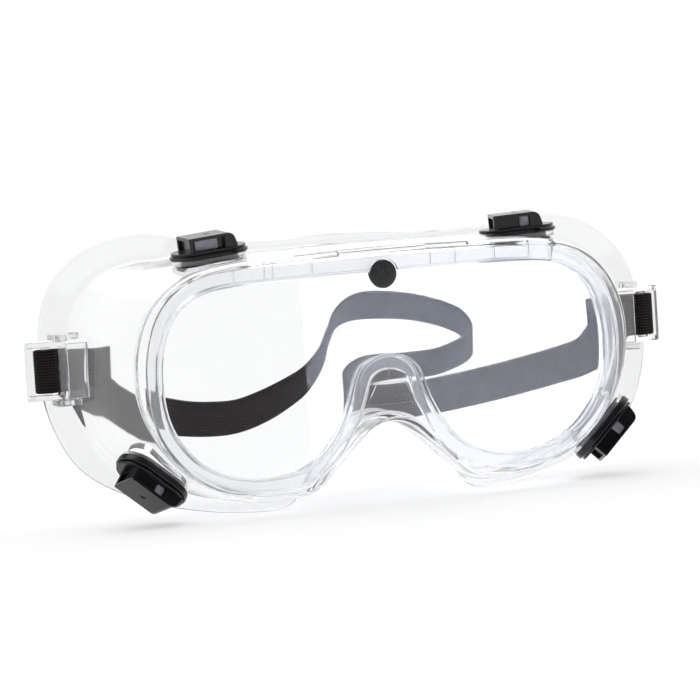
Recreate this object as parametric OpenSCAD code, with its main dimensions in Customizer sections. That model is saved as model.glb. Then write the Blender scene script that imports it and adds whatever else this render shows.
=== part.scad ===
// Indirect-vent safety goggles: soft clear frame, flat lens, four snap-in vents,
// two pivoting strap clips and an elastic head strap.
// Axes: +X to the right seen from the front, -Y out of the lens, +Z up. Millimetres.
// Origin: middle of the length and depth, at the level of the lowest edge.

/* [View] */
// node to draw, or "all"

/* [Frame] */
// thickness of the front lip over the lens edge
lip_t = 1.3; // [0.8:0.1:2]
// depth of the straight rim band
rim_d = 4.6; // [3:0.1:8]
// thickness of the side walls
wall_t = 2; // [1.2:0.1:3]
// thickness of the face flange
flange_t = 1.6; // [1:0.1:3]
// widest band of the face flange
flange_w = 8.5; // [5:0.5:12]
// outward bulge of the side walls half way back
bulge = 1; // [0:0.1:3]
// rise of the upper left corner of the soft flange, and drop of the right one
skew = 2.1; // [0:0.1:4]

/* [Lens] */
// lens thickness
lens_t = 2.2; // [1.5:0.1:3]
// depth of the groove that holds the lens edge
groove = 4.5; // [3:0.1:6]
// gap left between the lens and the groove, all round
lens_gap = 0.05; // [0.02:0.01:0.3]

/* [Lens stud] */
// diameter of the stud head
stud_d = 8; // [5:0.1:12]
// height of the domed head
stud_h = 1.3; // [0.8:0.1:3]
// diameter of the stud shank
shank_d = 3.2; // [2:0.1:5]
// height of the stud above the middle of the lens
stud_z = 26.8; // [20:0.1:30]

/* [Vents] */
// length of the oval vent flange
vent_l = 22.4; // [16:0.1:32]
// width of the oval vent flange
vent_w = 13.4; // [10:0.1:20]
// length of the vent hood
hood_l = 14; // [10:0.1:26]
// width of the vent hood, front to back
hood_w = 10.4; // [6:0.1:14]
// height of the vent hood above its flange
hood_h = 4; // [3:0.1:8]
// thickness of the hood roof
hood_t = 0.9; // [0.6:0.1:2]
// lean of the lower vents toward the front
vent_lean = 20; // [0:1:30]

/* [Strap clips] */
// distance of the clip pivots from the middle plane
clip_x = 86.8; // [80:0.5:95]
// depth of the clip pivots behind the front face
clip_y = 25.5; // [15:0.5:35]
// reach of a clip from its pivot
clip_l = 10.2; // [8:0.1:16]
// clear height inside a clip, for the strap
clip_gap = 13.2; // [10:0.1:20]
// thickness of the clip rails
clip_t = 2.4; // [1.5:0.1:4]
// diameter of the clip pivot
pivot_d = 2.2; // [1.5:0.1:3]
// clip angle at rest, swept back from straight out
clip_rest = 20; // [-10:1:60]

/* [Strap] */
// width of the elastic strap
strap_w = 12; // [8:0.5:20]
// thickness of the elastic strap
strap_t = 1.1; // [0.6:0.1:2]

/* [Hidden] */

$fn = 48;
eps = 0.01;
base_z = 37.48;  // height of the middle of the lens above the lowest edge
base_y = 28.81;  // depth of the origin behind the front face
sub = 3;         // stations between two outline points

// half outlines [x, z] from the top middle, round the side and the cheek, to the nose
rim_pts = [[0, 34.2], [24, 33.9], [45, 33.2], [57.5, 30.6], [66.5, 24.3], [71.8, 15],
    [73.4, 3.5], [71.2, -8], [65, -18.6], [55.5, -27], [44.5, -31.5], [33.5, -32.8],
    [24, -31.8], [17.5, -26.2], [11, -20], [5.6, -15.7], [0, -14.3]];
sight_pts = [[0, 27.4], [24, 27.3], [43.5, 26.9], [54, 25.2], [61.3, 20.2], [65, 12.6],
    [66.3, 3], [64.8, -8.5], [59.4, -17.8], [52, -23.4], [43.5, -26], [34.5, -26.3],
    [26, -24.6], [18.5, -19], [13, -10.5], [9.2, -0.8], [0, 4.6]];
// half outline of the face flange [x, z, depth]
face_pts = [[0, 38.2, 21], [25, 37.2, 23], [45, 38.2, 27], [62, 40.4, 31], [78, 36, 33],
    [89, 24.5, 33], [92.5, 6.5, 31], [90.5, -9, 28.5], [83, -22.5, 26], [68, -31.5, 23],
    [52.5, -35.8, 20], [39, -37.4, 17], [27.5, -36.3, 14], [20.5, -28.5, 15],
    [14.5, -21.5, 17], [7.5, -15.4, 19], [0, -13, 20]];

// smooth curve through a half outline, mirrored into a closed one
function pick(p, k) = let (n = len(p) - 1)
    k < 0 ? flip(p[-k]) : k > n ? flip(p[2 * n - k]) : p[k];
function flip(v) = len(v) == 2 ? [-v[0], v[1]] : [-v[0], v[1], v[2]];
function spline(a, b, c, d, t) = 0.5 * (2 * b + (c - a) * t
    + (2 * a - 5 * b + 4 * c - d) * t * t + (3 * b - a - 3 * c + d) * t * t * t);
function half(p) = [for (k = [0:len(p) - 2]) for (s = [0:sub - 1])
    spline(pick(p, k - 1), p[k], p[k + 1], pick(p, k + 2), s / sub)];
function closed(p) = let (h = half(p), n = len(h))
    concat(h, [p[len(p) - 1]], [for (i = [n - 1:-1:1]) flip(h[i])]);

rim = closed(rim_pts);
sight = closed(sight_pts);
corner = face_pts[4]; // upper corner of the flange
face = [for (f = closed(face_pts))
    [f[0], f[1] - skew * f[0] / corner[0] * max(0, f[1]) / corner[1], f[2]]];
count = len(rim);

function unit(v) = v / norm(v);
function normal(c, i) = let (a = c[(i + count - 1) % count], b = c[(i + 1) % count])
    unit([a[1] - b[1], b[0] - a[0]]);
function xz(v) = [v[0], v[1]];
function at(c, i, off) = xz(c[i]) + off * normal(c, i);
function p3(v, y) = [v[0], y, v[1]];

// one section of the frame, as a closed loop of points
shelf_y = lip_t + lens_t + 2 * lens_gap;
wall_y = shelf_y + 2.8;
function root(i) = let (d = xz(rim[i]) - xz(face[i]), l = norm(d))
    xz(face[i]) + d / l * min(flange_w, 0.72 * l);
function mid(i, off) = (xz(rim[i]) + root(i)) / 2 + (bulge + off) * normal(rim, i);
function mid_y(i) = rim_d + 0.42 * (face[i][2] - flange_t - rim_d);
function section(i) = let (f = face[i][2]) [
    p3(at(sight, i, 0), lip_t),
    p3(at(sight, i, 0), 0.7),
    p3(at(sight, i, 0.7), 0),
    p3(at(rim, i, -0.9), 0),
    p3(at(rim, i, 0), 0.9),
    p3(at(rim, i, 0), rim_d),
    p3(mid(i, 0), mid_y(i)),
    p3(root(i), f - flange_t),
    p3(at(face, i, -0.5), f - flange_t),
    p3(at(face, i, 0), f - flange_t / 2),
    p3(at(face, i, -0.5), f),
    p3(root(i) - wall_t * normal(rim, i), f),
    p3(mid(i, -wall_t), mid_y(i) + 0.4),
    p3(at(rim, i, -wall_t), wall_y + 0.4),
    p3(at(sight, i, 1), wall_y),
    p3(at(sight, i, 0.4), wall_y - 0.6),
    p3(at(sight, i, 0.4), shelf_y),
    p3(at(sight, i, groove), shelf_y),
    p3(at(sight, i, groove), lip_t)];
ring = len(section(0));

module shell() {
    polyhedron(
        points = [for (i = [0:count - 1]) each section(i)],
        faces = [for (i = [0:count - 1], j = [0:ring - 1]) let (
            a = i * ring + j, b = i * ring + (j + 1) % ring,
            c = ((i + 1) % count) * ring + (j + 1) % ring,
            d = ((i + 1) % count) * ring + j) each [[a, b, c], [a, c, d]]],
        convexity = 10);
}

// oval plate lying flat, long side along X
module oval(l, w, h) {
    linear_extrude(h) {
        square([l - w, w], center = true);
        for (s = [-1, 1]) translate([s * (l - w) / 2, 0]) circle(d = w);
    }
}

// vent places: [x, depth, z, turn about Y, lean toward the front, spin about its own axis]
vents = [[-46.8, 12, 35.5, -5, 3, 0], [46.1, 12, 34.1, -3, 0, -15],
    [-68, 11.5, -24.6, -140, vent_lean, 180], [69.2, 12, -23.6, 136, vent_lean, 180]];
module at_vent(k) {
    v = vents[k];
    translate([v[0], v[1], v[2]]) rotate([0, v[3], 0]) rotate([v[4], 0, 0])
        rotate([0, 0, v[5]]) children();
}
pad_t = 2.4;            // thickness of the wall where a vent is fitted
grip_t = 1.6;           // part of it held between the vent flange and the barb
neck_l = vent_l - 5.6;  // collar of the vent base
neck_w = vent_w - 5.6;
barb = 2;               // extra width of the barb behind the wall
bore_l = neck_l - 2.8;
bore_w = neck_w - 2.8;

module frame_body() {
    color([0.9, 0.93, 0.95, 0.5])
    difference() {
        union() {
            shell();
            for (k = [0:3]) at_vent(k) translate([0, 0, -pad_t]) oval(vent_l + 1, vent_w + 1, pad_t);
            for (s = [-1, 1], t = [-1, 1]) mirrored(s) clip_ear(t);
        }
        for (k = [0:3]) at_vent(k) translate([0, 0, -4 * pad_t]) {
            oval(neck_l + 0.4, neck_w + 0.4, 5 * pad_t);
            oval(neck_l + barb + 0.4, neck_w + barb + 0.4, 4 * pad_t - grip_t - 0.05);
            translate([0, 0, 4 * pad_t]) oval(vent_l + 1, vent_w + 1, pad_t);
        }
        for (s = [-1, 1]) mirrored(s) strap_notch();
        stud_hole(stud_d + 0.7, lip_t + 0.1);
        translate([0, shelf_y, 0]) stud_hole(washer_d + 0.6, 2 * wall_y);
        top_slot();
        for (s = [-1, 1]) mirrored(s) translate([13, -1, rim_pts[0][1] - 1.3])
            cube([13, lip_t + 1.6, 3]);
    }
}

module mirrored(s) { if (s > 0) children(); else mirror([1, 0, 0]) children(); }

// long slot over the lens edge, where the frame opens to take the lens
slot_l = 38;
slot_r = 180;
module top_slot() {
    sag = slot_r - sqrt(slot_r * slot_r - slot_l * slot_l / 4);
    translate([0, rim_d - 0.6, rim_pts[0][1] - 1.2]) linear_extrude(4) intersection() {
        translate([0, slot_r - sag / 2]) circle(r = slot_r, $fn = 360);
        translate([0, sag / 2 - slot_r]) circle(r = slot_r, $fn = 360);
    }
}

// ears of the frame that hold a clip pivot
ear_in = clip_gap / 2 + 1.6;
ear_t = 1.7;
ear_r = 2.5;
clip_z = 6.5;
module at_clip() { translate([clip_x, clip_y, clip_z]) children(); }
module clip_ear(t) {
    at_clip() mirror([0, 0, t > 0 ? 0 : 1]) translate([0, 0, ear_in]) difference() {
        union() {
            cylinder(r = ear_r, h = ear_t);
            translate([-ear_r, 0, 0]) cube([2 * ear_r, 5, ear_t]);
            translate([-ear_r - 4, 1.5, 0]) cube([ear_r + 4, 3.5, ear_t]);
        }
        translate([0, 0, -1]) cylinder(d = pivot_d + 0.12, h = ear_t + 2);
    }
}
module strap_notch() {
    at_clip() translate([-2.2, 0, -ear_in]) cube([12, 14, 2 * ear_in]);
}

// lens edge: the sight outline pushed into the groove
module lens() {
    color([0.92, 0.95, 0.97, 0.35]) difference() {
        translate([0, lip_t + lens_gap + lens_t, 0]) rotate([90, 0, 0]) linear_extrude(lens_t)
            polygon([for (i = [0:count - 1]) at(sight, i, groove - 0.3)]);
        stud_hole(shank_d + 0.2, 3 * shelf_y);
    }
}

washer_d = 6.4;
washer_t = 1.2;
module stud_hole(d, l) { translate([0, -1, stud_z]) rotate([-90, 0, 0]) cylinder(d = d, h = l + 1); }
stud_dome = 0.8; // height of the domed part of the head
module lens_stud() {
    dome_r = (stud_d * stud_d / 4 + stud_dome * stud_dome) / (2 * stud_dome);
    reach = lens_t + 2 * lens_gap + washer_t + 0.5;
    color([0.06, 0.06, 0.07]) translate([0, lip_t, stud_z]) rotate([90, 0, 0]) union() {
        cylinder(d = stud_d, h = stud_h - stud_dome);
        intersection() {
            translate([0, 0, stud_h - dome_r]) sphere(r = dome_r, $fn = 96);
            translate([0, 0, stud_h - stud_dome - eps]) cylinder(d = stud_d - 0.3, h = 2);
        }
        translate([0, 0, -reach]) cylinder(d = shank_d, h = reach + eps);
    }
}
module stud_washer() {
    color([0.1, 0.1, 0.11]) translate([0, shelf_y, stud_z]) rotate([-90, 0, 0]) difference() {
        cylinder(d = washer_d, h = washer_t);
        translate([0, 0, -1]) cylinder(d = shank_d + 0.04, h = washer_t + 2);
    }
}

// vent parts, drawn with the outward direction along +Z
module vent_base(k) {
    color([0.05, 0.05, 0.06]) at_vent(k) difference() {
        union() {
            oval(vent_l, vent_w, 1);
            translate([0, 0, -grip_t - 1]) oval(neck_l, neck_w, grip_t + 1.1);
            translate([0, 0, -grip_t - 1]) oval(neck_l + barb, neck_w + barb, 0.9);
        }
        translate([0, 0, -2 * pad_t]) oval(bore_l, bore_w, 4 * pad_t);
        translate([vent_l / 2 - 7, -vent_w / 2 - 0.7, 0.4]) cube([1.6, 1.4, 2]);
    }
}
cap_z = 1.2;
cap_t = 0.8;
module vent_cap(k) {
    color([0.05, 0.05, 0.06]) at_vent(k) difference() {
        union() {
            translate([0, 0, cap_z]) oval(vent_l - 1, vent_w - 1, cap_t);
            translate([0, 0, -2.2]) oval(bore_l - 0.6, bore_w - 0.6, 2.2 + cap_z + eps);
            hood();
        }
        translate([0, 0, -3]) oval(bore_l - 2.4, bore_w - 2.4, 3 + cap_z + cap_t);
        hood_room(k);
    }
}
// hood: open at the sides and at one end, steep rounded nose at the other
nose_x = hood_l / 2 - 3.6; // start of the nose
room_h = hood_h - hood_t;
module hood() {
    translate([0, hood_w / 2, cap_z + cap_t - eps]) rotate([90, 0, 0]) linear_extrude(hood_w)
        polygon([[-hood_l / 2, 0], [hood_l / 2, 0], [hood_l / 2 - 0.3, 1.4],
            [hood_l / 2 - 0.8, hood_h - 1.1], [hood_l / 2 - 1.5, hood_h - 0.3],
            [hood_l / 2 - 2.5, hood_h], [-hood_l / 2 + 0.3, hood_h], [-hood_l / 2, hood_h - 0.3]]);
}
// grey insert: a wide one in the upper left vent, a narrow post in the others
function insert(k) = k == 0 ? [-5.2, 1.6] : [0.6, nose_x - 0.1];
module hood_room(k) {
    translate([0, 0, cap_z + cap_t]) {
        for (s = [-1, 1]) translate([-hood_l / 2 - 1, s * (hood_w / 2 + 0.4) - hood_w / 2, 0])
            cube([hood_l / 2 + 1 + nose_x, hood_w, room_h]);
        translate([-hood_l / 2 - 1, -1, 0]) cube([2.2, 2, room_h]);
        translate([insert(k)[0] - 0.1, -hood_w, 0])
            cube([insert(k)[1] - insert(k)[0] + 0.2, 2 * hood_w, room_h]);
        translate([0, 0, hood_h - 0.3]) cylinder(d = 1.6, h = 1);
    }
}
module vent_baffle(k) {
    a = insert(k);
    color([0.42, 0.42, 0.5]) at_vent(k) translate([a[0], 1 - hood_w / 2, cap_z + cap_t + 0.05])
        cube([a[1] - a[0], hood_w - 2, room_h - 0.1]);
}

// strap clip, drawn about its pivot with the reach along +X
bar_a = 3.25;
bar_b = 5.85;
rail_a = 8;
module placed_clip(s) { mirrored(s) at_clip() rotate([0, 0, clip_rest]) children(); }
module clip(s) {
    color([0.88, 0.9, 0.92, 0.6]) placed_clip(s) union() {
        translate([0, 0, -ear_in - ear_t + 0.1]) cylinder(d = pivot_d, h = 2 * (ear_in + ear_t - 0.1));
        for (t = [-1, 1]) translate([0, -clip_t / 2, t > 0 ? clip_gap / 2 : -clip_gap / 2 - 1.4])
            cube([clip_l - 0.6, clip_t, 1.4]);
        translate([bar_a, -1, -clip_gap / 2 - eps]) cube([bar_b - bar_a, 2, clip_gap + 2 * eps]);
        translate([rail_a, -clip_t / 2, -clip_gap / 2 - 1.4]) linear_extrude(clip_gap + 2.8)
            polygon([[0, 0], [1.6, 0], [2.2, 0.6], [2.2, clip_t - 0.6], [1.6, clip_t], [0, clip_t]]);
    }
}

// strap folded round the middle bar of a clip
module bar_shape(g) {
    translate([bar_a - g, -1 - g]) square([bar_b - bar_a + 2 * g, 2 + 2 * g]);
}
module strap_loop(s) {
    color([0.12, 0.11, 0.11]) placed_clip(s) translate([0, 0, -strap_w / 2]) linear_extrude(strap_w)
        union() {
            difference() {
                union() {
                    translate([bar_a, -1 - strap_t]) square([bar_b - bar_a, 2 + 2 * strap_t]);
                    translate([bar_a, 0]) circle(r = 1 + strap_t);
                    translate([bar_b, 0]) circle(r = 1 + strap_t);
                }
                bar_shape(0.03);
                for (x = [bar_a, bar_b]) translate([x, 0]) circle(r = 1.03);
            }
            translate([-1, 1.3]) square([4.6, strap_t]);
        }
}

// flat band swept along [x, depth, z, lean] points; lean tips its upper edge forward
function band_at(p, t) = let (k = min(floor(t), len(p) - 2), u = t - k,
    a = p[max(k - 1, 0)], b = p[k], c = p[k + 1], d = p[min(k + 2, len(p) - 1)])
    spline(a, b, c, d, u);
lean_turn = 22; // direction in which the strap leans, turned from straight ahead
function across(t, lean) = let (w = [-sin(lean) * sin(lean_turn), -sin(lean) * cos(lean_turn), cos(lean)])
    unit(w - (w * t) * t);
module band(p, w, th, steps) {
    q = [for (i = [0:steps]) band_at(p, i * (len(p) - 1) / steps)];
    v = [for (i = [0:steps]) let (
        c = [q[i][0], q[i][1], q[i][2]],
        a = q[max(i - 1, 0)], b = q[min(i + 1, steps)],
        t = unit([b[0] - a[0], b[1] - a[1], b[2] - a[2]]),
        up = across(t, q[i][3]) * w / 2,
        side = unit(cross(up, t)) * th / 2)
        each [c + up + side, c + up - side, c - up - side, c - up + side]];
    polyhedron(points = v, faces = concat([[0, 1, 2, 3]],
        [for (i = [0:steps - 1], j = [0:3]) let (
            a = 4 * i + j, b = 4 * i + (j + 1) % 4) each [[a, a + 4, b], [b, a + 4, b + 4]]],
        [[4 * steps + 3, 4 * steps + 2, 4 * steps + 1, 4 * steps]]), convexity = 10);
}

run_pts = [[-83.4, 35.6, 4.2, 0], [-75.5, 38, -0.2, 5], [-66.9, 40, -5.4, 15], [-58.8, 41, -9.1, 25],
    [-49.7, 42, -11.4, 32], [-40.7, 42, -12.7, 33], [-31.6, 42, -12.8, 34], [-23.6, 41, -10.6, 36],
    [-16.1, 40, -7.2, 42], [-10.4, 40, -3.9, 48], [-4.8, 41, 1.9, 60], [-1.1, 44, 7.4, 76],
    [2.7, 46.5, 12.2, 66], [9.1, 49, 14.7, 54], [18.8, 51.5, 14.4, 51.5], [28.6, 52.5, 12.9, 51.5],
    [36.6, 51.5, 10.6, 50], [42.5, 49, 7.4, 48], [44, 45, 3.1, 46], [39.4, 41, 0, 48],
    [30.4, 39, -2.4, 49], [21.9, 39, -2.8, 49], [13.3, 40, -2.9, 46], [5.6, 39, -3.9, 40],
    [0.2, 36, -6.7, 38], [0.5, 33, -10, 34], [6.7, 31.5, -11.8, 32], [15, 31.5, -12.1, 30],
    [27, 32.5, -11.6, 28], [48.4, 35.5, -9.6, 26], [68.9, 38.4, -6.8, 22], [77.5, 38.8, -4.8, 14],
    [82, 37.4, -1.2, 6], [83.8, 34.9, 2.6, 0]];
tail_l = [[-83, 38.6, 4.5, 0], [-77, 40.2, 4.5, 0], [-71, 41.6, 4.5, 0], [-66.5, 42.6, 4.5, 0]];
tail_r = [[84.6, 40.6, 5.2, 0], [81.8, 41.8, 5.2, 0], [78.8, 42.6, 5.3, 0]];

module strap_run() { color([0.12, 0.11, 0.11]) band(run_pts, strap_w, strap_t, 132); }
module strap_tail(p) { color([0.12, 0.11, 0.11]) band(p, strap_w, strap_t, 9); }

translate([0, -base_y, base_z]) {
    frame_body();
    lens();
    lens_stud();
    stud_washer();
    vent_base(0);  // vent_base_tl
    vent_base(1);  // vent_base_tr
    vent_base(2);  // vent_base_bl
    vent_base(3);  // vent_base_br
    vent_cap(0);  // vent_cap_tl
    vent_cap(1);  // vent_cap_tr
    vent_cap(2);  // vent_cap_bl
    vent_cap(3);  // vent_cap_br
    vent_baffle(0);  // vent_baffle_tl
    vent_baffle(1);  // vent_baffle_tr
    vent_baffle(2);  // vent_baffle_bl
    vent_baffle(3);  // vent_baffle_br
    clip(-1);  // clip_left
    clip(1);  // clip_right
    strap_loop(-1);  // strap_loop_left
    strap_loop(1);  // strap_loop_right
    strap_tail(tail_l);  // strap_tail_left
    strap_tail(tail_r);  // strap_tail_right
    strap_run();
}
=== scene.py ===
# Safety goggles on a pale floor: clear soft frame, flat lens with a stud, four hooded vents,
# two strap clips and a folded elastic strap.
import math
import bpy
import bmesh
import numpy as np
from mathutils import Matrix, Vector

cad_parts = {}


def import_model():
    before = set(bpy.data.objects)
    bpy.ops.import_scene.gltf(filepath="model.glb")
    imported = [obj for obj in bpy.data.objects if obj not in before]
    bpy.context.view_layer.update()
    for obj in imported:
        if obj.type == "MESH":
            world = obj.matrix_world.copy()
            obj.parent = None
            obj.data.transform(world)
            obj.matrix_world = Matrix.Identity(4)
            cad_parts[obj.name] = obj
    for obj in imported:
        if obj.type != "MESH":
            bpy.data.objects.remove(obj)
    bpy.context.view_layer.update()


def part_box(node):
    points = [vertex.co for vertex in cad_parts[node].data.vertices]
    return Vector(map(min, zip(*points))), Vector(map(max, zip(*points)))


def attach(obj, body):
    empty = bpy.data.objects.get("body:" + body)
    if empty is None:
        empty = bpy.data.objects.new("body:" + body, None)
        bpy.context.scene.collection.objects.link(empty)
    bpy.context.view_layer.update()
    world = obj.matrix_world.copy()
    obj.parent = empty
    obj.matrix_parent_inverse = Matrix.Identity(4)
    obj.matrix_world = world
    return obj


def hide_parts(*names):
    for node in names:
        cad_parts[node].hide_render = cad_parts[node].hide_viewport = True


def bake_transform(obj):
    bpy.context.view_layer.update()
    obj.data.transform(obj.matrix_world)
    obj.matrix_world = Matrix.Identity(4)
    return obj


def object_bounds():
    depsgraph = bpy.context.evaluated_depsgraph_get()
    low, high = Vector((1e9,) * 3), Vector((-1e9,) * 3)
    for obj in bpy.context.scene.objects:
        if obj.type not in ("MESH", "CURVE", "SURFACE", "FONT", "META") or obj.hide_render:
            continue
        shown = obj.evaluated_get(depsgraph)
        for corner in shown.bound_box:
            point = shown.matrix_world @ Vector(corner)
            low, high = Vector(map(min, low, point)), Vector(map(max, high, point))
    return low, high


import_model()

# ------------------------------------------------------------------ frame of reference
# All shapes are in millimetres from the middle of the lens front: X right, Y back, Z up.
MM = 1000                       # millimetres in a metre
LENS_SETBACK = 1.35             # from the front of the frame to the front of the lens
STUD_Z = 26.8                   # height of the stud above the middle of the lens
SIDES = ((-1, "left"), (1, "right"))
lens_lo, lens_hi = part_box("lens")
stud_lo, stud_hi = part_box("lens_stud")
ORIGIN = Vector((0.0, lens_lo.y * MM - LENS_SETBACK, (stud_lo.z + stud_hi.z) * MM / 2 - STUD_Z))


def world(p):
    return (Vector(p) + ORIGIN) / MM


def link(name, data):
    """A new object in the scene."""
    o = bpy.data.objects.new(name, data)
    bpy.context.scene.collection.objects.link(o)
    return o


# ------------------------------------------------------------------ camera
AZIMUTH, ELEVATION, ROLL = math.radians(22), math.radians(5), math.radians(3.7)
PICTURE = 700                   # pixels along each side
CENTRE = (390.5, 370.0)         # where the middle of the lens falls, in pixels
SCALE = 3.6                     # pixels per mm at the lens
DISTANCE = 1100.0               # mm from the middle of the lens
SENSOR = 36.0                   # mm
look = Vector((math.sin(AZIMUTH) * math.cos(ELEVATION),
               math.cos(AZIMUTH) * math.cos(ELEVATION), -math.sin(ELEVATION)))
level_right = Vector((math.cos(AZIMUTH), -math.sin(AZIMUTH), 0))
level_up = level_right.cross(look)
right = level_right * math.cos(ROLL) - level_up * math.sin(ROLL)
up = level_right * math.sin(ROLL) + level_up * math.cos(ROLL)
eye = -look * DISTANCE
target = (right * ((PICTURE / 2 - CENTRE[0]) / SCALE)
          + up * ((CENTRE[1] - PICTURE / 2) / SCALE))
forward = (target - eye).normalized()
cam_x = (right - forward * right.dot(forward)).normalized()
cam_y = cam_x.cross(forward)
cam = link("camera", bpy.data.cameras.new("camera"))
cam.data.sensor_width = SENSOR
cam.data.lens = SCALE * (target - eye).length / PICTURE * SENSOR
cam.data.clip_start, cam.data.clip_end = 0.01, 50
cam.matrix_world = (Matrix.Translation(world(eye))
                    @ Matrix((cam_x, cam_y, -forward)).transposed().to_4x4())
bpy.context.scene.camera = cam

# ------------------------------------------------------------------ mesh helpers
def make(name, verts, faces, smooth=True):
    me = bpy.data.meshes.new(name)
    me.from_pydata([world(v) for v in verts], [], faces)
    me.validate()
    o = link(name, me)
    if smooth:
        me.polygons.foreach_set("use_smooth", [True] * len(me.polygons))
    tidy_normals(o)
    return o


def tidy_normals(o):
    bm = bmesh.new()
    bm.from_mesh(o.data)
    bmesh.ops.recalc_face_normals(bm, faces=bm.faces)
    bm.to_mesh(o.data)
    bm.free()


def apply_modifiers(o):
    bpy.context.view_layer.update()
    dg = bpy.context.evaluated_depsgraph_get()
    me = bpy.data.meshes.new_from_object(o.evaluated_get(dg))
    o.modifiers.clear()
    old = o.data
    o.data = me
    bpy.data.meshes.remove(old)
    return o


def boolean(o, others, op):
    """Joins the others to o or cuts them from it, one by one, and deletes them."""
    for other in others:
        m = o.modifiers.new("boolean", "BOOLEAN")
        m.operation, m.object, m.solver = op, other, "EXACT"
        apply_modifiers(o)
    for other in others:
        bpy.data.objects.remove(other)
    return o


def soften(o, width, angle=35, segments=2):
    """Rounds the edges of a hard piece and shades it smooth."""
    b = o.modifiers.new("bevel", "BEVEL")
    b.width, b.segments = width / MM, segments
    b.limit_method, b.angle_limit = "ANGLE", math.radians(angle)
    b.harden_normals = True
    o.data.polygons.foreach_set("use_smooth", [True] * len(o.data.polygons))
    apply_modifiers(o)
    return crisp(o, 40)


def crisp(o, angle):
    """Smooth shading up to an angle, with flat faces kept flat."""
    o.data.polygons.foreach_set("use_smooth", [True] * len(o.data.polygons))
    bm = bmesh.new()
    bm.from_mesh(o.data)
    for e in bm.edges:
        e.smooth = len(e.link_faces) == 2 and e.calc_face_angle(0) < math.radians(angle)
    bm.to_mesh(o.data)
    bm.free()
    w = o.modifiers.new("weights", "WEIGHTED_NORMAL")
    w.keep_sharp = True
    return apply_modifiers(o)


def catmull(a, b, c, d, t):
    """The point at t from b to c on the smooth curve through a, b, c and d."""
    return 0.5 * (2 * b + (c - a) * t + (2 * a - 5 * b + 4 * c - d) * t * t
                  + (3 * b - a - 3 * c + d) * t ** 3)


def closed(points, sub):
    """The whole smooth outline from its half, mirrored about X = 0."""
    p = np.array(points, float)
    flip = np.ones(p.shape[1])
    flip[0] = -1
    pad = np.vstack([p[1] * flip, p, p[-2] * flip])
    half = [catmull(*pad[k:k + 4], s / sub) for k in range(len(p) - 1) for s in range(sub)]
    return np.array(half + [p[-1]] + [h * flip for h in half[:0:-1]])


def normals(c):
    """Unit normals of a closed outline, in its own plane."""
    t = np.roll(c, -1, 0) - np.roll(c, 1, 0)
    n = np.stack([-t[:, 1], t[:, 0]], 1)
    return n / np.linalg.norm(n, axis=1)[:, None]


def circle(radius, n):
    """Points round the origin."""
    return [(radius * math.cos(a), radius * math.sin(a))
            for a in np.linspace(0, 2 * math.pi, n, False)]


def loft(name, rings):
    """Closed solid through rings of the same number of points, capped at both ends."""
    n = len(rings[0])
    verts = [v for r in rings for v in r]
    faces = [(i * n + j, i * n + (j + 1) % n, (i + 1) * n + (j + 1) % n, (i + 1) * n + j)
             for i in range(len(rings) - 1) for j in range(n)]
    faces += [tuple(range(n))[::-1], tuple(range((len(rings) - 1) * n, len(rings) * n))]
    return make(name, verts, faces)


def upright(name, outline, z0, z1):
    """Straight solid over an outline in X and Y."""
    return loft(name, [[(x, y, z) for x, y in outline] for z in (z0, z1)])


def box(name, lo, hi):
    (a, b, c), (d, e, f) = lo, hi
    v = [(a, b, c), (d, b, c), (d, e, c), (a, e, c), (a, b, f), (d, b, f), (d, e, f), (a, e, f)]
    return make(name, v, [(0, 3, 2, 1), (4, 5, 6, 7), (0, 1, 5, 4),
                          (1, 2, 6, 5), (2, 3, 7, 6), (3, 0, 4, 7)], False)


def stadium(length, width, n=14):
    r, s = width / 2, (length - width) / 2
    right_end = [(s + r * math.cos(a), r * math.sin(a))
                 for a in np.linspace(-math.pi / 2, math.pi / 2, n)]
    return right_end + [(-x, -y) for x, y in right_end]


BEVEL_STEPS = 4


def plate(name, size, z0, z1, bevel=0.0):
    """Oval plate of a (length, width), long side along X, with rounded rims."""
    def ring(inset, z):
        return [(x, y, z) for x, y in stadium(size[0] - 2 * inset, size[1] - 2 * inset)]
    if bevel <= 0:
        return loft(name, [ring(0, z0), ring(0, z1)])
    low = [ring(bevel - bevel * math.cos(a), z0 + bevel - bevel * math.sin(a))
           for a in np.linspace(math.pi / 2, 0, BEVEL_STEPS)]
    high = [ring(bevel - bevel * math.cos(a), z1 - bevel + bevel * math.sin(a))
            for a in np.linspace(0, math.pi / 2, BEVEL_STEPS)]
    return loft(name, low + high)


def lathe(name, profile, centre, n=64):
    """Solid of revolution about Y through centre; profile is (radius, y)."""
    return loft(name, [[(centre[0] + x, centre[1] + y, centre[2] + z) for x, z in circle(r, n)]
                       for r, y in profile])


# ------------------------------------------------------------------ strap
CLIP = Vector((86.8, 25.5, 6.5))        # pivot of the right clip
REST = math.radians(20)                 # how far the clips point back at rest
STRAP_W, STRAP_T = 12.0, 1.1
LEAN_TURN = math.radians(22)            # direction in which the strap leans, from straight ahead
FOLD = (18.8, 51.5, 14.4)               # where the two halves of the strap meet
FINE, SMOOTHING = 24, 8                 # points in each span of its path, and rounds of smoothing
SPACING = 0.45                          # mm between rings
UV_MM = 100                             # mm of strap in one unit of its UV map
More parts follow.
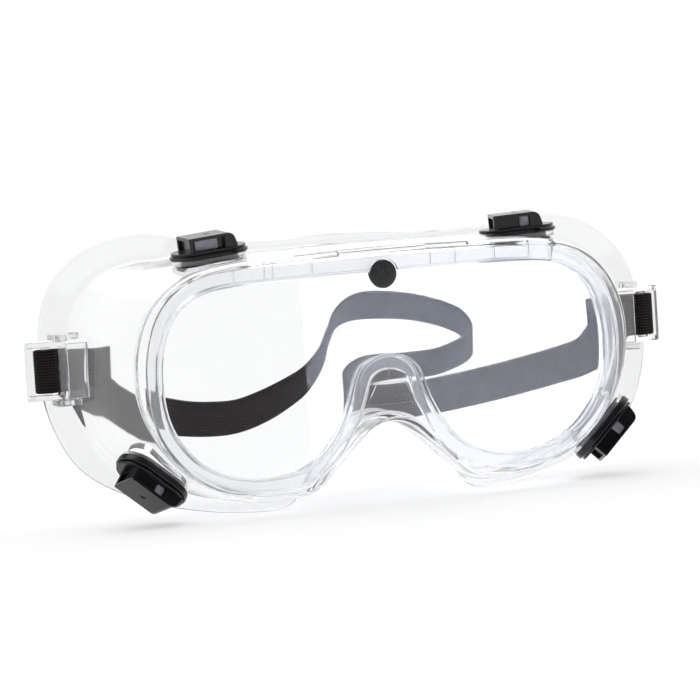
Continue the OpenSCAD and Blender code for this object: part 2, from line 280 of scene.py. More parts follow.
# middle of the strap behind the lens: X, Y, Z and how far its upper edge leans forward
RUN = [(-83.4, 35.6, 4.2, 0), (-75.5, 38, -0.2, 5), (-66.9, 40, -5.4, 15),
       (-58.8, 41, -9.1, 25), (-49.7, 42, -11.4, 32), (-40.7, 42, -12.7, 33),
       (-31.6, 42, -12.8, 34), (-23.6, 41, -10.6, 36), (-16.1, 40, -7.2, 42),
       (-10.4, 40, -3.9, 48), (-4.8, 41, 1.9, 60), (-1.1, 44, 7.4, 76),
       (2.7, 46.5, 12.2, 66), (9.1, 49, 14.7, 54), (18.8, 51.5, 14.4, 51.5),
       (28.6, 52.5, 12.9, 51.5), (36.6, 51.5, 10.6, 50), (42.5, 49, 7.4, 48),
       (44, 45, 3.1, 46), (39.4, 41, 0, 48), (30.4, 39, -2.4, 49),
       (21.9, 39, -2.8, 49), (13.3, 40, -2.9, 46), (5.6, 39, -3.9, 40),
       (0.2, 36, -6.7, 38), (0.5, 33, -10, 34), (6.7, 31.5, -11.8, 32),
       (15, 31.5, -12.1, 30), (27, 32.5, -11.6, 28), (48.4, 35.5, -9.6, 26),
       (68.9, 38.4, -6.8, 22), (77.5, 38.8, -4.8, 14), (82, 37.4, -1.2, 6), (83.8, 34.9, 2.6, 0)]
# round the bar of a clip, from the tail to the run, in the clip's own X and Y
WRAP = [(3.2, 2.85), (5.2, 2.55), (7.0, 1.75), (7.42, 0), (7.0, -1.3), (5.85, -1.62),
        (4.5, -1.66), (3.2, -1.62), (2.15, -1.0), (1.95, 0.3), (1.3, 1.5), (-0.4, 2.1)]
# from each free end to its clip, and from the clip to the run
LEFT_TAIL = [(-66.5, 42.6, 4.5, 0), (-71, 41.7, 4.5, 0), (-77, 40.3, 4.8, 0),
             (-82, 38.4, 5.4, 0), (-85.4, 35, 6, 0)]
LEFT_ENTRY = [(-85.6, 29.6, 6.2, 0), (-85.3, 32.4, 5.5, 0)]
RIGHT_TAIL = [(80.3, 42.0, 5.3, 0), (82.3, 41.2, 5.4, 0), (84.3, 39.5, 5.6, 0),
              (85.9, 36, 6.1, 0)]
RIGHT_ENTRY = [(85.6, 29.6, 6, 0), (85.2, 32.4, 4.7, 0)]
STRAP_NODES = {"left": ("strap_loop_left", "strap_tail_left", "strap_run"),
               "right": ("strap_loop_right", "strap_tail_right")}


def at_clip(p, s):
    """A point given from a clip's pivot; s is -1 for the left clip and 1 for the right."""
    x, y, z = p
    c, w = math.cos(REST), math.sin(REST)
    return (s * (CLIP.x + x * c - y * w), CLIP.y + x * w + y * c, CLIP.z + z)


def strap_line():
    left_wrap, right_wrap = ([(*at_clip((x, y, 0), s), 0) for x, y in WRAP] for s, side in SIDES)
    return (LEFT_TAIL + left_wrap + LEFT_ENTRY + RUN
            + (RIGHT_TAIL + right_wrap + RIGHT_ENTRY)[::-1])


def strap_section():
    """The band's section: distance up and distance toward its face."""
    hw, ht = STRAP_W / 2, STRAP_T / 2
    flat = [hw * k for k in (0.93, 0.6, 0.2, -0.2, -0.6, -0.93)]
    section = [(a, ht) for a in flat] + [(-hw + 0.1, ht * 0.7), (-hw, 0), (-hw + 0.1, -ht * 0.7)]
    section += [(-a, -ht) for a in flat] + [(hw - 0.1, -ht * 0.7), (hw, 0), (hw - 0.1, ht * 0.7)]
    return np.array(section)


def strap_rings():
    """Evenly spaced rings of the band's section, with the distance along it."""
    p = np.array(strap_line(), float)
    pad = np.vstack([2 * p[0] - p[1], p, 2 * p[-1] - p[-2]])
    fine = np.array([catmull(*pad[k:k + 4], t) for k in range(len(p) - 1)
                     for t in np.linspace(0, 1, FINE, False)] + [p[-1]])
    for _ in range(SMOOTHING):
        fine[1:-1] = (fine[:-2] + 2 * fine[1:-1] + fine[2:]) / 4
    d = np.r_[0, np.cumsum(np.linalg.norm(np.diff(fine[:, :3], axis=0), axis=1))]
    at = np.linspace(0, d[-1], int(d[-1] / SPACING))
    q = np.stack([np.interp(at, d, fine[:, k]) for k in range(4)], 1)
    c, lean = q[:, :3], np.radians(q[:, 3])
    t = np.gradient(c, axis=0)
    t /= np.linalg.norm(t, axis=1)[:, None]
    w = np.stack([-np.sin(lean) * math.sin(LEAN_TURN), -np.sin(lean) * math.cos(LEAN_TURN),
                  np.cos(lean)], 1)
    u = w - (w * t).sum(1)[:, None] * t
    u /= np.linalg.norm(u, axis=1)[:, None]
    n = np.cross(u, t)
    section = strap_section()
    rings = c[:, None] + u[:, None] * section[None, :, :1] + n[:, None] * section[None, :, 1:]
    return rings, at, section[:, 0]


def ribbon(name, rings, at, across):
    """A length of the band, with a UV map that runs along it and across it."""
    o = loft(name, rings)
    layer = o.data.uv_layers.new(name="along")
    for loop in o.data.loops:
        i, j = divmod(loop.vertex_index, len(across))
        layer.data[loop.index].uv = (at[i] / UV_MM, across[j] / UV_MM)
    return o


rings, along, across = strap_rings()
middle = int(np.argmin(np.linalg.norm(rings.mean(1) - np.array(FOLD), axis=1)))
straps = []
for (s, side), cut in zip(SIDES, (slice(0, middle + 1), slice(middle, None))):
    strap = ribbon("strap_" + side, rings[cut], along[cut], across)
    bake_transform(strap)
    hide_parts(*STRAP_NODES[side])
    straps.append(strap)

# ------------------------------------------------------------------ materials
looks = {}                              # the material of each slot


def principled(name, **values):
    """A new material, its nodes and its Principled shader, with values on the shader's sockets."""
    m = bpy.data.materials.new(name)
    m.use_nodes = True
    nt = m.node_tree
    p = nt.nodes["Principled BSDF"]
    for key, v in values.items():
        p.inputs[key.replace("_", " ")].default_value = v
    looks[name] = m
    return nt, p


def noise(nt, scale, detail):
    tc = nt.nodes.new("ShaderNodeTexCoord")
    n = nt.nodes.new("ShaderNodeTexNoise")
    n.inputs["Scale"].default_value = scale
    n.inputs["Detail"].default_value = detail
    n.inputs["Roughness"].default_value = 0.6
    nt.links.new(tc.outputs["Object"], n.inputs["Vector"])
    return n.outputs["Fac"]


def ramp(nt, fac, stops):
    """Colours at positions of a factor."""
    r = nt.nodes.new("ShaderNodeValToRGB")
    e = r.color_ramp.elements
    e[0].position, e[0].color = stops[0][0], (*stops[0][1], 1)
    e[1].position, e[1].color = stops[-1][0], (*stops[-1][1], 1)
    for pos, col in stops[1:-1]:
        e.new(pos).color = (*col, 1)
    nt.links.new(fac, r.inputs["Fac"])
    return r.outputs["Color"]


def spread(nt, fac, lo, hi):
    """A factor spread over lo to hi."""
    r = nt.nodes.new("ShaderNodeMapRange")
    r.inputs["To Min"].default_value, r.inputs["To Max"].default_value = lo, hi
    nt.links.new(fac, r.inputs["Value"])
    return r.outputs["Result"]


def bump(nt, p, height, strength, distance):
    b = nt.nodes.new("ShaderNodeBump")
    b.inputs["Strength"].default_value, b.inputs["Distance"].default_value = strength, distance
    nt.links.new(height, b.inputs["Height"])
    nt.links.new(b.outputs["Normal"], p.inputs["Normal"])


def wave(nt, uv, scale, direction, distortion):
    """Stripes across one direction of a UV map."""
    mp = nt.nodes.new("ShaderNodeMapping")
    mp.inputs["Scale"].default_value = (*scale, 1)
    nt.links.new(uv, mp.inputs["Vector"])
    w = nt.nodes.new("ShaderNodeTexWave")
    w.bands_direction, w.wave_profile = direction, "SIN"
    w.inputs["Scale"].default_value = 1.0
    w.inputs["Distortion"].default_value = distortion
    w.inputs["Detail"].default_value = 1.0
    nt.links.new(mp.outputs["Vector"], w.inputs["Vector"])
    return w.outputs["Fac"]


def scaled(nt, value, factor, plus=None):
    """value * factor, and plus added to it."""
    n = nt.nodes.new("ShaderNodeMath")
    n.operation = "MULTIPLY_ADD" if plus else "MULTIPLY"
    nt.links.new(value, n.inputs[0])
    n.inputs[1].default_value = factor
    if plus:
        nt.links.new(plus, n.inputs[2])
    return n.outputs[0]


def paint(o, mat):
    o.data.materials.clear()
    o.data.materials.append(mat)
    o.data.polygons.foreach_set("material_index", [0] * len(o.data.polygons))


def place(o, body, slot, *nodes):
    """Puts a piece on its body, paints it with the material named by slot, and hides the nodes it
    stands for.
    """
    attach(o, body)
    if nodes:
        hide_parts(*nodes)
    paint(o, looks[slot])


def clear(name, tint, rough, ior, glass, haze, ripple):
    """Clear plastic: glossy glass that lets lamps through to what is behind it.
    haze is the scale of its unevenness, and ripple the strength of its waves."""
    nt, p = principled(name, Transmission_Weight=glass, IOR=ior)
    brighter = tuple(min(1, c * 1.015) for c in tint)
    nt.links.new(ramp(nt, noise(nt, haze, 3), [(0.3, tint), (0.7, brighter)]),
                 p.inputs["Base Color"])
    if rough:
        nt.links.new(spread(nt, noise(nt, haze * 2.3, 4), rough * 0.6, rough * 1.4),
                     p.inputs["Roughness"])
        bump(nt, p, noise(nt, haze * 0.8, 2), ripple, 0.0004)
    else:
        p.inputs["Roughness"].default_value = 0
    path = nt.nodes.new("ShaderNodeLightPath")
    through = nt.nodes.new("ShaderNodeBsdfTransparent")
    through.inputs["Color"].default_value = (0.94, 0.94, 0.94, 1)
    mix = nt.nodes.new("ShaderNodeMixShader")
    nt.links.new(path.outputs["Is Shadow Ray"], mix.inputs["Fac"])
    nt.links.new(p.outputs["BSDF"], mix.inputs[1])
    nt.links.new(through.outputs["BSDF"], mix.inputs[2])
    nt.links.new(mix.outputs["Shader"], nt.nodes["Material Output"].inputs["Surface"])


clear("clear_pvc", (0.955, 0.958, 0.962), rough=0.07, ior=1.46, glass=0.93, haze=60, ripple=0.12)
clear("clear_lens", (0.925, 0.93, 0.935), rough=0, ior=1.15, glass=1.0, haze=25, ripple=0)
clear("clear_clip", (0.92, 0.925, 0.93), rough=0.08, ior=1.45, glass=0.88, haze=90, ripple=0.1)

nt, p = principled("black_vent", Specular_IOR_Level=0.4)
nt.links.new(ramp(nt, noise(nt, 700, 5), [(0.3, (0.006, 0.006, 0.007)),
                                          (0.75, (0.012, 0.011, 0.014))]), p.inputs["Base Color"])
nt.links.new(spread(nt, noise(nt, 420, 4), 0.12, 0.26), p.inputs["Roughness"])
bump(nt, p, noise(nt, 1500, 3), 0.12, 0.0002)

nt, p = principled("grey_baffle", Roughness=0.5)
nt.links.new(ramp(nt, noise(nt, 500, 4), [(0.3, (0.3, 0.285, 0.35)),
                                          (0.75, (0.5, 0.48, 0.54))]), p.inputs["Base Color"])
bump(nt, p, noise(nt, 1800, 3), 0.2, 0.0002)

nt, p = principled("black_stud", Specular_IOR_Level=0.4)
nt.links.new(ramp(nt, noise(nt, 2600, 3), [(0.35, (0.012, 0.012, 0.013)),
                                           (0.7, (0.05, 0.05, 0.054))]), p.inputs["Base Color"])
nt.links.new(spread(nt, noise(nt, 2200, 3), 0.4, 0.62), p.inputs["Roughness"])
bump(nt, p, noise(nt, 3200, 2), 0.5, 0.0003)

# the webbing: ribs across the strap and cords along it
nt, p = principled("elastic_webbing", Roughness=0.85, Specular_IOR_Level=0.15,
                   Sheen_Weight=0.05, Sheen_Roughness=0.5)
uv_map = nt.nodes.new("ShaderNodeUVMap")
uv_map.uv_map = "along"
ribs = wave(nt, uv_map.outputs["UV"], (42, 1), "X", 0.5)
cords = wave(nt, uv_map.outputs["UV"], (1, 40), "Y", 0.6)
weave = scaled(nt, ribs, 0.3, scaled(nt, cords, 0.7))
nt.links.new(ramp(nt, weave, [(0.1, (0.003, 0.0022, 0.0022)), (0.55, (0.01, 0.0075, 0.0075)),
                              (1.0, (0.036, 0.028, 0.028))]), p.inputs["Base Color"])
bump(nt, p, weave, 0.6, 0.0003)
for strap in straps:
    paint(strap, looks["elastic_webbing"])

# ------------------------------------------------------------------ frame shell
# right halves of the outlines, in X and Z, from the top middle to the bottom middle
RIM = [(0, 34.2), (24, 33.9), (45, 33.2), (57.5, 30.6), (66.5, 24.3), (71.8, 15), (73.4, 3.5),
       (71.2, -8), (65, -18.6), (55.5, -27), (44.5, -31.5), (33.5, -32.8), (24, -31.8),
       (17.5, -26.2), (11, -20), (5.6, -15.7), (0, -14.3)]
SIGHT = [(0, 27.4), (24, 27.3), (43.5, 26.9), (54, 25.2), (61.3, 20.2), (65, 12.6), (66.3, 3),
         (64.8, -8.5), (59.4, -17.8), (52, -23.4), (43.5, -26), (34.5, -26.3), (26, -24.6),
         (18.5, -19), (12.6, -9.2), (8.3, 1.2), (0, 4.6)]
# the flange on the face, with its depth behind the lens as a third number
FACE = [(0, 38.2, 21), (25, 37.2, 23), (45, 38.2, 27), (62, 40.4, 31), (78, 36, 33),
        (89, 24.5, 33), (92.5, 6.5, 31), (90.5, -9, 28.5), (83, -22.5, 26), (68, -31.5, 23),
        (52.5, -35.8, 20), (39, -37.4, 17), (27.5, -36.3, 14), (20.5, -28.5, 15),
        (14.5, -21.5, 17), (7.5, -15.4, 19), (0, -13, 20)]
SUB = 10                        # points of the smooth outline to one of its half
LIP = 1.3                       # thickness of the frame in front of the lens
LENS_T = 2.2
SHELF = LIP + LENS_T + 0.1      # back of the lens groove
INNER = SHELF + 2.8             # back of the lip behind the lens
GROOVE = 4.5                    # depth of the lens groove
RIM_D = 4.6                     # depth of the rim's outer edge
WALL = 2.0
BULGE = 1.0                     # how far the side walls bow outwards
FLANGE_T, FLANGE_W = 1.6, 8.5
FLANGE_SHARE = 0.72             # the most of the way to the rim that the flange takes
MID_SHARE = 0.42                # how deep the middle of the wall lies, from rim to flange
SKEW = 2.1                      # how far the flange rises on the left and drops on the right
SKEW_X, SKEW_Z = 78, 36         # where the skew is full
CORNER = (0, 0.25, 0.5, 0.75, 1)        # places of the rows round a corner
CORNER_SHARE = 0.45             # the most of a side that a corner takes
ROW_GAP = 2.5                   # the widest gap between rows, about
rim, sight, face = (closed(c, SUB) for c in (RIM, SIGHT, FACE))
face[:, 1] -= SKEW * face[:, 0] / SKEW_X * np.maximum(0, face[:, 1]) / SKEW_Z
n_rim, n_sight, n_face = normals(rim), normals(sight), normals(face[:, :2])


def lift(xz, y):
    return np.stack([xz[:, 0], np.broadcast_to(y, len(xz)), xz[:, 1]], 1)


toward = rim - face[:, :2]
reach = np.linalg.norm(toward, axis=1)[:, None]
root = face[:, :2] + toward / reach * np.minimum(FLANGE_W, FLANGE_SHARE * reach)
depth = face[:, 2]
mid = (rim + root) / 2 + BULGE * n_rim
mid_y = RIM_D + MID_SHARE * (depth - FLANGE_T - RIM_D)
loops = [  # (points round the frame, radius of the corner there)
    # front of the lip, and the rim with its parting line
    (lift(sight, LIP), 0.15), (lift(sight, 0.7), 0.3), (lift(sight + 0.7 * n_sight, 0), 0.4),
    (lift(rim - 0.9 * n_rim, 0), 0.5), (lift(rim, 0.9), 0.5), (lift(rim, RIM_D - 1.3), 0.15),
    (lift(rim - 0.45 * n_rim, RIM_D - 0.95), 0.15), (lift(rim, RIM_D - 0.6), 0.15),
    (lift(rim, RIM_D), 0.3),
    # outside of the wall, the flange and the inside of the wall
    (lift(mid, mid_y), 5.0), (lift(root, depth - FLANGE_T), 1.8),
    (lift(face[:, :2] - 0.5 * n_face, depth - FLANGE_T), 0.3),
    (lift(face[:, :2], depth - FLANGE_T / 2), 0.4),
    (lift(face[:, :2] - 0.5 * n_face, depth), 0.3), (lift(root - WALL * n_rim, depth), 1.5),
    (lift(mid - WALL * n_rim, mid_y + 0.4), 5.0), (lift(rim - WALL * n_rim, INNER + 0.4), 0.8),
    # lip behind the lens, and the groove
    (lift(sight + 1.0 * n_sight, INNER), 0.4), (lift(sight + 0.4 * n_sight, INNER - 0.6), 0.3),
    (lift(sight + 0.4 * n_sight, SHELF), 0.15), (lift(sight + GROOVE * n_sight, SHELF), 0.15),
    (lift(sight + GROOVE * n_sight, LIP), 0.15)]


def shell_rows():
    """Rows of points from loop to loop, with the corners rounded."""
    m = len(loops)
    points = [p for p, radius in loops]
    sides = [points[(k + 1) % m] - points[k] for k in range(m)]
    lengths = [np.linalg.norm(side, axis=1)[:, None] for side in sides]
    cuts = [np.minimum(radius, np.minimum(lengths[k - 1], lengths[k]) * CORNER_SHARE)
            for k, (p, radius) in enumerate(loops)]
    starts = [points[k] - sides[k - 1] / lengths[k - 1] * cuts[k] for k in range(m)]
    ends = [points[k] + sides[k] / lengths[k] * cuts[k] for k in range(m)]
    rows = []
    for k in range(m):
        rows += [(1 - t) ** 2 * starts[k] + 2 * t * (1 - t) * points[k] + t * t * ends[k]
                 for t in CORNER]
        between = max(2, int(np.median(lengths[k]) / ROW_GAP) + 1)
        rows += [ends[k] + (starts[(k + 1) % m] - ends[k]) * t
                 for t in np.linspace(0, 1, between)[1:-1]]
    return np.array(rows)


def shell_mesh():
    rows = shell_rows()
    r, n = rows.shape[:2]
    verts = rows.transpose(1, 0, 2).reshape(-1, 3)
    i, j = np.meshgrid(np.arange(n), np.arange(r), indexing="ij")
    i2, j2 = (i + 1) % n, (j + 1) % r
    faces = np.stack([i * r + j, i * r + j2, i2 * r + j2, i2 * r + j], -1).reshape(-1, 4)
    return make("goggle_frame", verts.tolist(), faces.tolist())


# places of the vents: X, Y, Z, turn about Y, lean toward the front, spin about their own axis
VENTS = {"tl": (-46.8, 12, 35.5, -5, 3, 0), "tr": (46.1, 12, 34.1, -3, 0, -15),
         "bl": (-68, 11.5, -24.6, -140, 20, 180), "br": (69.2, 12, -23.6, 136, 20, 180)}
SUNK = {"tl": 0.0, "tr": 0.0, "bl": 1.0, "br": 1.0}     # how far the base reaches into its seat
# lengths and widths of the ovals on each vent's axis, from the frame outwards
SEAT_PAD, SEAT, SEAT_HOLE, BARB_ROOM = (21.6, 12.6), (23.4, 14.4), (17.2, 8.2), (19.2, 10.2)
BASE, COLLAR, BARB, BASE_BORE = (22.4, 13.4), (16.8, 7.8), (18.8, 9.8), (14, 5)
CAP, PLUG, PLUG_BORE, DIMPLE = (21.4, 12.4), (13.4, 4.4), (11.6, 2.6), (1.8, 1.5)


def at_vent(o, key):
    x, y, z, turn, lean, spin = VENTS[key]
    here = Matrix.Translation(world((x, y, z)))
    for angle, axis in ((turn, "Y"), (lean, "X"), (spin, "Z")):
        here = here @ Matrix.Rotation(math.radians(angle), 4, axis)
    o.data.transform(here @ Matrix.Translation(world((0, 0, 0))).inverted())
    return o


CLIP_SLOT, CLIP_HALF = 6.6, 8   # half heights of a clip, inside and outside
EAR_IN = CLIP_HALF + 0.2        # from the middle of a clip to its ears
EAR_T = 1.7
NOTCH_IN, NOTCH_OUT, NOTCH_BACK = 2.2, 10, 14   # reach of the cut-outs from the pivots
PAD_LOW, PAD_DEEPER = -1.4, 0.6         # underside of a seat's pad, and its share of the sinking
SEAT_HIGH, SEAT_LOW, GRIP_LOW = 2.4, -9.6, -1.65    # reach of the cuts, and what the barb grips
SLOT_R, SLOT_HALF = 180, 19     # radius of the two arcs of the slot, and half its length
SLOT_Y = RIM_D - 0.6
STEP_FROM, STEP_TO = 13, 26     # the two steps in the front lip, in X
TICKS = (-44.4, -35.4, -33, -21.4, 14, 21.5, 33.5, 44)      # mould ticks along the upper lip
TICK_HALF = 0.25
POCKET = ((-4.2, -3.4), (4.2, -3.4), (7.5, -9.4), (-7.5, -9.4))     # in the nose arch, X and Z
RIB = ((-0.8, -0.7, -3.3), (0.8, 0.3, 2.2))         # on the front of the nose arch
LEDGE = ((-6, -0.6, -3.3), (6, 0.3, -2.1))
STUD_SEAT = [(4.35, -3), (4.35, 1.4)]


def slot_outline():
    """The slot over the lens edge, between two arcs."""
    sag = SLOT_R - math.sqrt(SLOT_R ** 2 - SLOT_HALF ** 2)
    arcs = ((1, np.linspace(SLOT_HALF, -SLOT_HALF, 33)),
            (-1, np.linspace(0.5 - SLOT_HALF, SLOT_HALF - 0.5, 31)))
    return [(x, SLOT_Y + k * (math.sqrt(SLOT_R ** 2 - x * x) - SLOT_R + sag))
            for k, xs in arcs for x in xs]


shell = shell_mesh()
cutters = []
for s, side in SIDES:
    x0, x1 = sorted((s * (CLIP.x - NOTCH_IN), s * (CLIP.x + NOTCH_OUT)))
    cutters.append(box("notch", (x0, CLIP.y, CLIP.z - EAR_IN),
                       (x1, CLIP.y + NOTCH_BACK, CLIP.z + EAR_IN)))
boolean(shell, cutters, "DIFFERENCE")
for key, sunk in SUNK.items():
    pad = plate("pad", SEAT_PAD, PAD_LOW - sunk * PAD_DEEPER, -sunk, 0.2)
    boolean(shell, [at_vent(pad, key)], "UNION")
    boolean(shell, [at_vent(plate("seat", SEAT, -sunk, SEAT_HIGH), key),
                    at_vent(plate("hole", SEAT_HOLE, SEAT_LOW, SEAT_HIGH), key),
                    at_vent(plate("barb_room", BARB_ROOM, SEAT_LOW, GRIP_LOW), key)], "DIFFERENCE")
cutters = [upright("slot", slot_outline(), 33.0, 38.0)]
for s, side in SIDES:
    x0, x1 = sorted((s * STEP_FROM, s * STEP_TO))
    cutters.append(box("step", (x0, -1, 32.9), (x1, 1.9, 36)))
for x in TICKS:
    cutters.append(box("tick", (x - TICK_HALF, -1, 28.4), (x + TICK_HALF, 0.4, 32.6)))
cutters.append(loft("pocket", [[(x, y, z) for x, z in POCKET] for y in (-1, 0.9)]))
cutters.append(lathe("stud_seat", STUD_SEAT, (0, 0, STUD_Z)))
boolean(shell, cutters, "DIFFERENCE")
boolean(shell, [box("rib", *RIB), box("ledge", *LEDGE)], "UNION")
crisp(shell, 30)
place(shell, "frame", "clear_pvc", "frame_body")

# ------------------------------------------------------------------ ears and lips at the clips
# outlines in X and Y from a clip's pivot, on the right side; both are part of the same moulding
EAR_R = 2.5
EAR = ([(EAR_R * math.sin(a), -EAR_R * math.cos(a))
        for a in np.linspace(-math.pi / 2, math.pi / 2, 12)]
       + [(EAR_R, 5), (-6.5, 5), (-6.5, 1.5), (-EAR_R, 1.5)])
EAR_LIP = [(-6, -5), (-0.8, -3.9), (-0.2, -3.3), (-0.8, -2.7), (-6, -3.6)]
EAR_LIP_HALF = 7.6


def beside_clip(name, s, outline, z0, z1, rounding):
    o = upright(name, [(s * (CLIP.x + x), CLIP.y + y) for x, y in outline],
                CLIP.z + z0, CLIP.z + z1)
    soften(o, rounding)
    place(o, "frame", "clear_pvc")


for s, side in SIDES:
    beside_clip("ear_%s_lower" % side, s, EAR, -EAR_IN, -EAR_IN - EAR_T, 0.3)
    beside_clip("ear_%s_lip" % side, s, EAR_LIP, -EAR_LIP_HALF, EAR_LIP_HALF, 0.25)
    beside_clip("ear_%s_upper" % side, s, EAR, EAR_IN, EAR_IN + EAR_T, 0.3)

# ------------------------------------------------------------------ lens
LENS_GAP = 0.3                  # from the edge of the lens to the bottom of its groove
LENS_EDGE = 0.2                 # the chamfer round the lens
edge = sight + (GROOVE - LENS_GAP) * n_sight
chamfered = edge - LENS_EDGE * n_sight
y0, y1 = LIP + 0.05, LIP + 0.05 + LENS_T
pane = loft("lens_pane", [lift(chamfered, y0), lift(edge, y0 + LENS_EDGE),
                          lift(edge, y1 - LENS_EDGE), lift(chamfered, y1)])
pane.data.polygons.foreach_set("use_smooth", [len(f.vertices) == 4 for f in pane.data.polygons])
place(pane, "frame", "clear_lens", "lens")

# ------------------------------------------------------------------ stud and washer
STUD = (0, LIP, STUD_Z)
# radii and distances behind the lip
DOME = [(3.85 * math.sin(a), -0.55 - 0.75 * math.cos(a))
        for a in np.linspace(0.02, math.pi / 2, 12)]
SHANK = [(3.98, -0.5), (4.0, -0.4), (4.0, -0.1), (3.9, 0), (1.6, 0), (1.6, 4.0), (1.4, 4.0)]
WASHER = [(1.62, 2.3), (3.0, 2.3), (3.2, 2.5), (3.2, 3.2), (3.0, 3.4), (2.0, 3.5), (1.62, 3.5)]
stud = lathe("stud_head", DOME + SHANK, STUD)
crisp(stud, 40)
place(stud, "frame", "black_stud", "lens_stud")
place(lathe("stud_washer_ring", WASHER, STUD), "frame", "black_stud", "stud_washer")

# ------------------------------------------------------------------ vents
# heights on a vent's axis, from its seat
BASE_TOP = 1                    # top of the base's flange
LOW, BARB_TOP = -2.3, -1.7      # the barb under the wall
CAP_Z = 1.2                     # underside of the cap's flange
TOP = 2.0                       # top of the cap's flange
ROOM = TOP + 3.1                # ceiling under the roof of the hood
HOOD_HALF = 5.2                 # half the hood's width
NOSE_X = 3.4                    # where the hood's nose is closed inside
NOSE_EXTRA = {"tl": 0, "tr": 0, "bl": 1.6, "br": 1.6}
POST = (0.6, 3.3)               # where the grey post stands behind the window, in X
WIDE_POST = (-5.2, 1.6)         # the same for the top left vent, which shows a wide panel
NICK = ((4.2, -7.4, 0.4), (5.8, -6.0, 2))       # in the rim of the base
# side view of the hood, in X and height: the roof falls off in a steep rounded nose at one end
# and stands open at the other
HOOD = [(-7, 0), (7, 0), (6.85, 0.9), (6.55, 2.1), (6.25, 2.9), (5.8, 3.5), (5.1, 3.88), (4.3, 4),
        (-6.8, 4), (-7, 3.8)]
for key, sunk in SUNK.items():
    base = plate("vent_base_piece_" + key, BASE, -sunk, BASE_TOP, 0.35)
    boolean(base, [plate("collar", COLLAR, LOW, 0.1), plate("barb", BARB, LOW, BARB_TOP, 0.2)],
            "UNION")
    boolean(base, [plate("bore", BASE_BORE, -8, 8), box("nick", *NICK)], "DIFFERENCE")
    at_vent(base, key)
    soften(base, 0.12)
    place(base, "frame", "black_vent", "vent_base_" + key)

    side_view = [(x + NOSE_EXTRA[key] * (x > 4), z) for x, z in HOOD]
    hood = loft("hood", [[(x, y, TOP - 0.05 + z) for x, z in side_view]
                         for y in (-HOOD_HALF, HOOD_HALF)])
    cap = plate("vent_hood_" + key, CAP, CAP_Z, TOP, 0.3)
    boolean(cap, [plate("plug", PLUG, -2.2, CAP_Z + 0.1), hood], "UNION")
    post_from, post_to = WIDE_POST if key == "tl" else POST
    boolean(cap, [plate("plug_bore", PLUG_BORE, -3, TOP),
                  box("left_window", (-5.9, -9, TOP + 0.1), (NOSE_X, -3.7, ROOM)),
                  box("right_window", (-5.9, 3.7, TOP + 0.1), (NOSE_X, 9, ROOM)),
                  box("open_end", (-8, -4.3, TOP + 0.1), (-6.1, 4.3, ROOM)),
                  box("post_room", (post_from - 0.1, -9, TOP), (post_to + 0.1, 9, ROOM)),
                  plate("dimple", DIMPLE, TOP + 3.7, 9)], "DIFFERENCE")
    at_vent(cap, key)
    soften(cap, 0.22)
    place(cap, "vent_" + key, "black_vent", "vent_cap_" + key)

    panel = box("vent_panel_" + key, (post_from, -4.2, TOP + 0.05), (post_to, 4.2, ROOM - 0.05))
    at_vent(panel, key)
    soften(panel, 0.3, 35, 3)
    place(panel, "vent_" + key, "grey_baffle", "vent_baffle_" + key)

# ------------------------------------------------------------------ clips
PIVOT_R = 1.1
PIVOT_HALF = EAR_IN + EAR_T - 0.1
ARM_T = 1.2                     # half the thickness of the arms and the outer bar
# boxes of a clip, from its pivot: upper arm, lower arm, outer bar and the bar the strap goes round
CLIP_BOXES = [((0, -ARM_T, CLIP_SLOT), (9.6, ARM_T, CLIP_HALF)),
              ((0, -ARM_T, -CLIP_HALF), (9.6, ARM_T, -CLIP_SLOT)),
              ((8, -ARM_T, -CLIP_HALF), (10.2, ARM_T, CLIP_HALF)),
              ((3.25, -1, -CLIP_SLOT - 0.1), (5.85, 1, CLIP_SLOT + 0.1))]


def clip_box(s, lo, hi):
    o = box("bar", lo, hi)
    for v in o.data.vertices:
        v.co = world(at_clip(Vector(v.co) * MM - ORIGIN, s))
    tidy_normals(o)
    return o


for s, side in SIDES:
    clip = loft("clip_piece_" + side, [[at_clip((x, y, z), s) for x, y in circle(PIVOT_R, 24)]
                                       for z in (-PIVOT_HALF, PIVOT_HALF)])
    boolean(clip, [clip_box(s, lo, hi) for lo, hi in CLIP_BOXES], "UNION")
    soften(clip, 0.35, 40, 3)
    place(clip, "clip_" + side, "clear_clip", "clip_" + side)

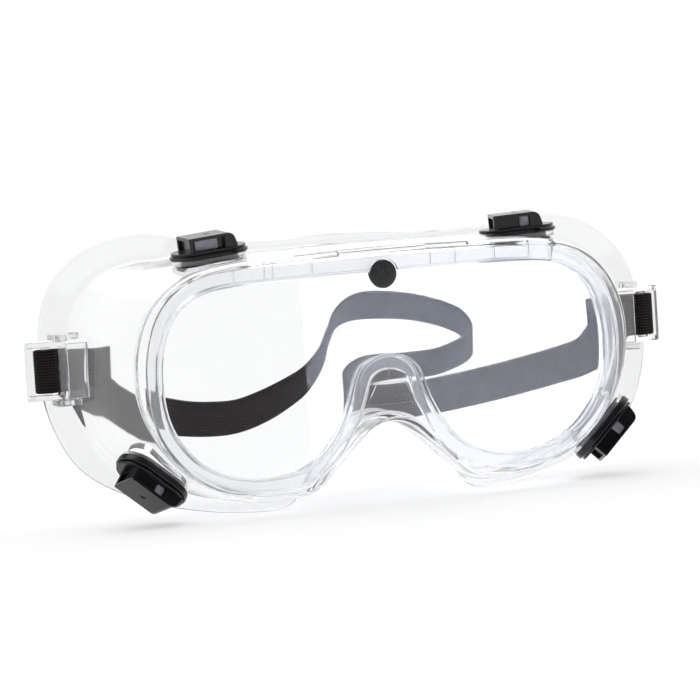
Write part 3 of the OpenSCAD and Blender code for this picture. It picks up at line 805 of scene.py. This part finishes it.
# ------------------------------------------------------------------ floor and light
FAR = 9000
lo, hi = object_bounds()
floor = make("floor", [(-FAR, -FAR, 0), (FAR, -FAR, 0), (FAR, FAR, 0), (-FAR, FAR, 0)],
             [(0, 1, 2, 3)], False)
floor.location.z = lo.z - world((0, 0, 0)).z
nt, p = principled("pale_floor", Roughness=0.9, Specular_IOR_Level=0.0,
                   Emission_Color=(1, 1, 1, 1), Emission_Strength=0.5)
nt.links.new(ramp(nt, noise(nt, 3, 2), [(0.2, (0.46, 0.46, 0.46)), (0.8, (0.47, 0.47, 0.47))]),
             p.inputs["Base Color"])
paint(floor, looks["pale_floor"])

sky = link("sky_softbox", bpy.data.lights.new("sky_softbox", "SUN"))
sky.data.energy, sky.data.angle = 1.45, math.radians(80)
sky.rotation_euler = (math.radians(-18), math.radians(8), 0)

# upright panel in front on the right: the sheen over the right part of the lens, in metres
panel_light = link("front_panel", bpy.data.lights.new("front_panel", "AREA"))
panel_light.data.shape = "RECTANGLE"
panel_light.data.size, panel_light.data.size_y = 0.137, 0.066
panel_light.data.energy, panel_light.data.color = 1.2, (0.78, 0.82, 1.0)
panel_light.location = (0.075, -0.109, 0.034)
panel_light.rotation_mode = "QUATERNION"
panel_light.rotation_quaternion = Vector((0, 1, 0)).to_track_quat("-Z", "Y")
panel_light.visible_camera = False
panel_light.visible_diffuse = False
panel_light.visible_transmission = False
sheen = bpy.data.collections.new("sheen")
sheen.objects.link(pane)
panel_light.light_linking.receiver_collection = sheen

# white studio, darker in front of the object, from the world's own Y
studio = bpy.data.worlds.new("studio")
bpy.context.scene.world = studio
studio.use_nodes = True
nt = studio.node_tree
tc = nt.nodes.new("ShaderNodeTexCoord")
xyz = nt.nodes.new("ShaderNodeSeparateXYZ")
nt.links.new(tc.outputs["Generated"], xyz.inputs["Vector"])
shade = nt.nodes.new("ShaderNodeMapRange")
shade.inputs["From Min"].default_value, shade.inputs["From Max"].default_value = -0.6, 0.1
shade.inputs["To Min"].default_value, shade.inputs["To Max"].default_value = 0.08, 1.02
nt.links.new(xyz.outputs["Y"], shade.inputs["Value"])
background = nt.nodes["Background"]
nt.links.new(shade.outputs["Result"], background.inputs["Strength"])
background.inputs["Color"].default_value = (1, 1, 1, 1)
bpy.context.scene.view_settings.view_transform = "Standard"
